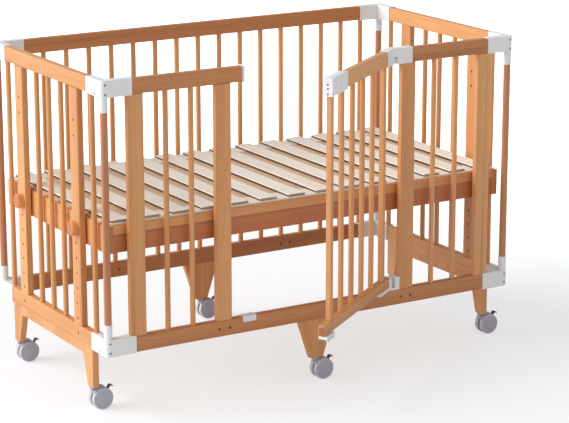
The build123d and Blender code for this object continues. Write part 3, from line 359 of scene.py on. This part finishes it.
NODE_FINISHES = {
    "long_rails": ["back_top_rail", "back_bottom_rail", "front_bottom_rail", "front_top_rails"],
    "end_rails": ["end_top_rails", "end_bottom_rails"],
    "gate_rails": ["gate_top_rail", "gate_bottom_rail"],
    "uprights": ["frame_spindles", "end_posts", "front_posts", "gate_stiles", "gate_spindles"],
    "rods": ["corner_rods"],
    "legs": ["end_leg_frames", "middle_legs"],
    "end_boards": ["base_end_boards"],
    "side_boards": ["base_side_rails"],
    "side_strips": ["base_side_strips"],
    "slats": ["base_slats"],
    "battens": ["base_battens"],
    "panel": ["base_panel"],
    "knobs": [f"knob_{spot}" for spot in KNOB_SPOTS],
    "white": ["top_corner_brackets", "bottom_corner_brackets", "top_hinge_gate_half",
              "top_hinge_frame_half", "bottom_hinge_gate_half", "bottom_hinge_frame_half",
              "gate_catch_foot", "latch_housing", "latch_button", "top_striker",
              "bottom_striker"],
    "wheel": [f"caster_{part}_{spot}" for part in ("housing", "wheels") for spot in CASTER_SPOTS],
    "dark": [f"caster_lever_{spot}" for spot in CASTER_SPOTS] + ["latch_pins"],
    "screw": ["frame_screws"],
    "steel": ["hinge_pins", "base_insert_nuts"],
}


def dress(paints):
    """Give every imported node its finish."""
    for paint, names in NODE_FINISHES.items():
        for name in names:
            slots = NODES[name].data.materials
            for i in range(len(slots)):
                slots[i] = paints[paint]


# Stage, lamps and camera

FLOOR_HALF = 40.0
FLOOR_COLOUR = (0.84, 0.84, 0.85, 1.0)
FLOOR_SEEN = (0.41, 0.42, 0.43, 1.0)
FLOOR_LIFT = 0.58
FLOOR_FAR_LIFT = 0.84
FLOOR_WHITE_FROM = 1.2
FLOOR_WHITE_TO = 2.6


def floor():
    """A plain white floor that keeps the crib's shadow and fades to pure white."""
    mesh = bpy.data.meshes.new("floor")
    far = FLOOR_HALF
    mesh.from_pydata([(-far, -far, 0), (far, -far, 0), (far, far, 0), (-far, far, 0)], [],
                     [(0, 1, 2, 3)])
    plane = bpy.data.objects.new("floor", mesh)
    bpy.context.scene.collection.objects.link(plane)
    finish = Finish("floor_white")
    place = finish.coordinates("Object")
    away = finish.node("VectorMath", {"operation": "LENGTH"}, {0: place}, "Value")
    path = finish.node("LightPath", output="Is Camera Ray")
    fade = away.between(FLOOR_WHITE_FROM, FLOOR_WHITE_TO)
    lift = (FLOOR_LIFT + fade * FLOOR_FAR_LIFT) * path
    grey = finish.mix(path, FLOOR_COLOUR, FLOOR_SEEN)
    paint = finish.node("BsdfDiffuse", None, {"Color": grey})
    glow = finish.node("Emission", None, {"Color": (1, 1, 1, 1), "Strength": lift})
    both = finish.node("AddShader", None, {0: paint, 1: glow})
    finish.node("OutputMaterial", None, {"Surface": both})
    mesh.materials.append(finish.material)
    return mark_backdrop(plane)


KEY_FROM = Vector((-0.80, 0.36, 0.52))
KEY_STRENGTH = 3.1
KEY_SOFTNESS = 55.0
FILL_FROM = Vector((-0.25, -0.75, 0.55))
FILL_STRENGTH = 0.34
FILL_SOFTNESS = 80.0
SKY_STRENGTH = 0.52


def sun(name, come_from, strength, softness):
    """A soft, white, distant lamp shining from a direction."""
    data = bpy.data.lights.new(name, "SUN")
    data.energy = strength
    data.angle = math.radians(softness)
    lamp = bpy.data.objects.new(name, data)
    lamp.rotation_mode = "QUATERNION"
    lamp.rotation_quaternion = come_from.to_track_quat("Z", "Y")
    bpy.context.scene.collection.objects.link(lamp)


def lamps():
    """One broad soft key from the left and behind, a weak fill, and an even sky."""
    sun("key", KEY_FROM, KEY_STRENGTH, KEY_SOFTNESS)
    sun("fill", FILL_FROM, FILL_STRENGTH, FILL_SOFTNESS)
    world = bpy.data.worlds.new("studio")
    bpy.context.scene.world = world
    world.use_nodes = True
    tree = world.node_tree
    tree.nodes.clear()
    path = tree.nodes.new("ShaderNodeLightPath")
    seen = tree.nodes.new("ShaderNodeMapRange")
    seen.inputs["To Min"].default_value = SKY_STRENGTH
    seen.inputs["To Max"].default_value = 1.0
    sky = tree.nodes.new("ShaderNodeBackground")
    out = tree.nodes.new("ShaderNodeOutputWorld")
    tree.links.new(path.outputs["Is Camera Ray"], seen.inputs["Value"])
    tree.links.new(seen.outputs["Result"], sky.inputs["Strength"])
    tree.links.new(sky.outputs["Background"], out.inputs["Surface"])


def camera():
    """The photograph's view."""
    data = bpy.data.cameras.new("camera")
    data.sensor_width = SENSOR_MM
    data.lens = SENSOR_MM * FOCAL_PX / PHOTO_WIDTH
    data.clip_end = CAMERA_SIGHT
    place = bpy.data.objects.new("camera", data)
    foot = Vector((CRIB_MIDDLE.x, CRIB_MIDDLE.y, 0))
    place.location = foot + CAMERA_FROM_CRIB
    place.rotation_euler = Euler((math.radians(90 - CAMERA_PITCH), 0, -math.radians(CAMERA_YAW)))
    bpy.context.scene.collection.objects.link(place)
    bpy.context.scene.camera = place


# Extra pieces

ROUND_STEPS = 64
ROUND_TURNS = [2 * math.pi * i / ROUND_STEPS for i in range(ROUND_STEPS)]
CREASE = math.radians(30)
WELD = 1e-7
# Each wheel from its outer face in: share of the radius, share of the width
TURNED_WHEEL = ((0.0, 0.94), (0.30, 0.94), (0.34, 1.0), (0.40, 1.0), (0.44, 0.94), (0.78, 0.92),
                (0.82, 0.98), (0.90, 1.0), (0.965, 0.94), (1.0, 0.82), (1.0, 0.22), (0.965, 0.06),
                (0.90, 0.0), (0.0, 0.0))
TURNED_AXLE = ((0.0, 0.0), (1.0, 0.0), (1.0, 1.0), (0.0, 1.0))
DISC_EDGE = 0.90
WHEEL_INNER = 0.0045
AXLE_R = 0.003


def add_mesh(name, corners, faces, body, paints):
    """A piece from corners and faces that rides on a body."""
    mesh = bpy.data.meshes.new(name)
    mesh.from_pydata(corners, [], faces)
    piece = bpy.data.objects.new(name, mesh)
    bpy.context.scene.collection.objects.link(piece)
    for paint in paints:
        mesh.materials.append(paint)
    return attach(piece, body)


def turned(profile, radius, width):
    """Rings of corners and their faces for a profile turned about Y."""
    corners = []
    for share, along in profile:
        for turn in ROUND_TURNS:
            corners.append(Vector((share * radius * math.cos(turn), along * width,
                                   share * radius * math.sin(turn))))
    faces = []
    for ring in range(len(profile) - 1):
        for i in range(ROUND_STEPS):
            j = (i + 1) % ROUND_STEPS
            a, b = ring * ROUND_STEPS, (ring + 1) * ROUND_STEPS
            faces.append((a + i, a + j, b + j, b + i))
    return corners, faces


def smooth(piece):
    """Round shading, with edges sharper than the crease angle kept crisp."""
    shaped = bmesh.new()
    shaped.from_mesh(piece.data)
    bmesh.ops.remove_doubles(shaped, verts=shaped.verts, dist=WELD)
    bmesh.ops.recalc_face_normals(shaped, faces=shaped.faces)
    for face in shaped.faces:
        face.smooth = True
    for edge in shaped.edges:
        edge.smooth = edge.calc_face_angle(0) < CREASE
    shaped.to_mesh(piece.data)
    shaped.free()


def wheels(spot, paints):
    """A pair of turned wheels with a raised hub and rim, and a paler tread."""
    node = f"caster_wheels_{spot}"
    low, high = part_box(node)
    centre = (low + high) / 2
    radius = (high.z - low.z) / 2
    width = (high.y - low.y) / 2 - WHEEL_INNER
    made = []
    for name, side in (("near", -1), ("far", 1)):
        corners, faces = turned(TURNED_WHEEL, radius, width)
        place = [centre + Vector((c.x, side * (WHEEL_INNER + c.y), c.z)) for c in corners]
        piece = add_mesh(f"wheel_{name}_{spot}", place, faces, f"wheels_{spot}",
                         [paints["wheel"], paints["tread"]])
        smooth(piece)
        for face in piece.data.polygons:
            reach = math.hypot(face.center.x - centre.x, face.center.z - centre.z)
            face.material_index = int(reach > DISC_EDGE * radius)
        made.append(piece)
    corners, faces = turned(TURNED_AXLE, AXLE_R, 2 * width)
    place = [centre + Vector((c.x, c.y - width, c.z)) for c in corners]
    piece = add_mesh(f"wheel_axle_{spot}", place, faces, f"wheels_{spot}", [paints["steel"]])
    smooth(piece)
    made.append(piece)
    for piece in made:
        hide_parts(node)


# Away from the gate's outer face
OUTWARD = Vector((math.sin(GATE_OPEN), -math.cos(GATE_OPEN), 0))
PLATE_T = 0.0004
PLATE_SUNK = 0.0001
# Size and shape of the crescent of painted shade beside the latch's button
CRESCENT_R = 0.0068
CRESCENT_WIDE = 0.0016
CRESCENT_HALF_TURN = 75
CRESCENT_STEPS = 16
LATCH_SCREW_DROP = 0.040
LATCH_SCREW_R = 0.0024


def reach_along(node, direction):
    """Least and greatest reach of a node's corners along a direction."""
    reaches = [corner.co.dot(direction) for corner in NODES[node].data.vertices]
    return min(reaches), max(reaches)


def plate(name, outline, direction, body, paint):
    """A thin plate with an outline, standing out along a direction: the dark crescent of painted
    shade by the latch's button, or a screw head.
    """
    count = len(outline)
    back = [point - direction * PLATE_SUNK for point in outline]
    front = [point + direction * (PLATE_T - PLATE_SUNK) for point in outline]
    faces = [tuple(range(count)), tuple(reversed(range(count, 2 * count)))]
    faces += [(i, (i + 1) % count, count + (i + 1) % count, count + i) for i in range(count)]
    piece = add_mesh(name, back + front, faces, body, [paint])
    smooth(piece)
    return piece


def latch_shade_and_screw(paints):
    """A crescent of painted shade beside the latch's button, where the button's side is in shadow,
    and the screw in the housing's end face.
    """
    along = Vector(ALONG_GATE)
    face = reach_along("latch_housing", OUTWARD)[1]
    low, high = reach_along("latch_button", along)
    button_z = middle("latch_button").z
    centre = along * ((low + high) / 2) + OUTWARD * face + Vector((0, 0, button_z))
    turns = [math.radians(CRESCENT_HALF_TURN * (2 * i / CRESCENT_STEPS - 1))
             for i in range(CRESCENT_STEPS + 1)]

    def ring(radius, turn):
        return centre - along * radius * math.cos(turn) + Vector((0, 0, radius * math.sin(turn)))

    outer = [ring(CRESCENT_R, turn) for turn in turns]
    inner = [ring(CRESCENT_R - CRESCENT_WIDE * math.cos(turn), turn) for turn in reversed(turns)]
    plate("latch_painted_shade_crescent", outer + inner, OUTWARD, "gate", paints["crescent_shade"])
    end = reach_along("latch_housing", along)[1]
    across = sum(reach_along("latch_housing", OUTWARD)) / 2
    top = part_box("latch_housing")[1].z
    screw = along * end + OUTWARD * across + Vector((0, 0, top - LATCH_SCREW_DROP))
    rim = [OUTWARD * math.cos(turn) + Vector((0, 0, math.sin(turn))) for turn in ROUND_TURNS]
    disc = [screw + point * LATCH_SCREW_R for point in rim]
    plate("latch_end_screw", disc, along, "gate", paints["screw"])


PAINTS = finishes()
dress(PAINTS)
latch_shade_and_screw(PAINTS)
for each_spot in CASTER_SPOTS:
    wheels(each_spot, PAINTS)
floor()
lamps()
camera()

bpy.context.scene.view_settings.view_transform = "Standard"
